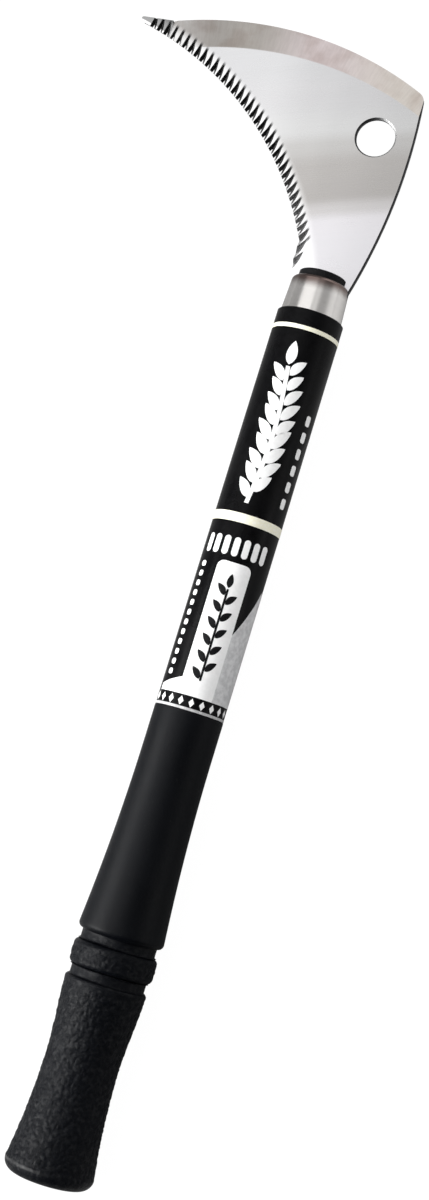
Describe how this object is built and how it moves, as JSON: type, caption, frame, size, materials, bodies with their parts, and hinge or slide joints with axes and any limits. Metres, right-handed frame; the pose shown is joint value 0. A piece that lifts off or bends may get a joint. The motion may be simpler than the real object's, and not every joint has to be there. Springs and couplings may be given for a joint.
{
  "type": "serrated sickle",
  "caption": "Serrated sickle: a crescent saw-toothed steel blade with a hanging hole, pinned into a steel pipe handle with a printed sleeve and a moulded elastomer grip.",
  "frame": {"origin": "centre of the flat in the middle of the butt, on the handle's axis", "axes": "+Y up the handle towards the blade, +X towards the blade's back corner, +Z out of the blade's front face; the tool lies flat"},
  "size_m": [0.1127, 0.4147, 0.0316],
  "materials": {
    "blade_steel": "ground and lightly polished",
    "black_resin": "matt",
    "pin_steel": "plain",
    "pipe_steel": "polished plating",
    "white_plastic": "moulded",
    "sleeve_film": "printed satin film",
    "cream_band": "satin",
    "white_band": "satin",
    "grip_elastomer": "matt, fine leather grain on the hand part"
  },
  "bodies": {
    "root": {"blade": "blade_steel", "tang_plug": "black_resin", "tang_pin": "pin_steel", "handle_pipe": "pipe_steel", "pipe_end_plug": "white_plastic", "label_sleeve": "sleeve_film", "band_upper": "cream_band", "band_middle": "cream_band", "band_lower": "white_band", "grip": "grip_elastomer"}
  },
  "joints": []
}
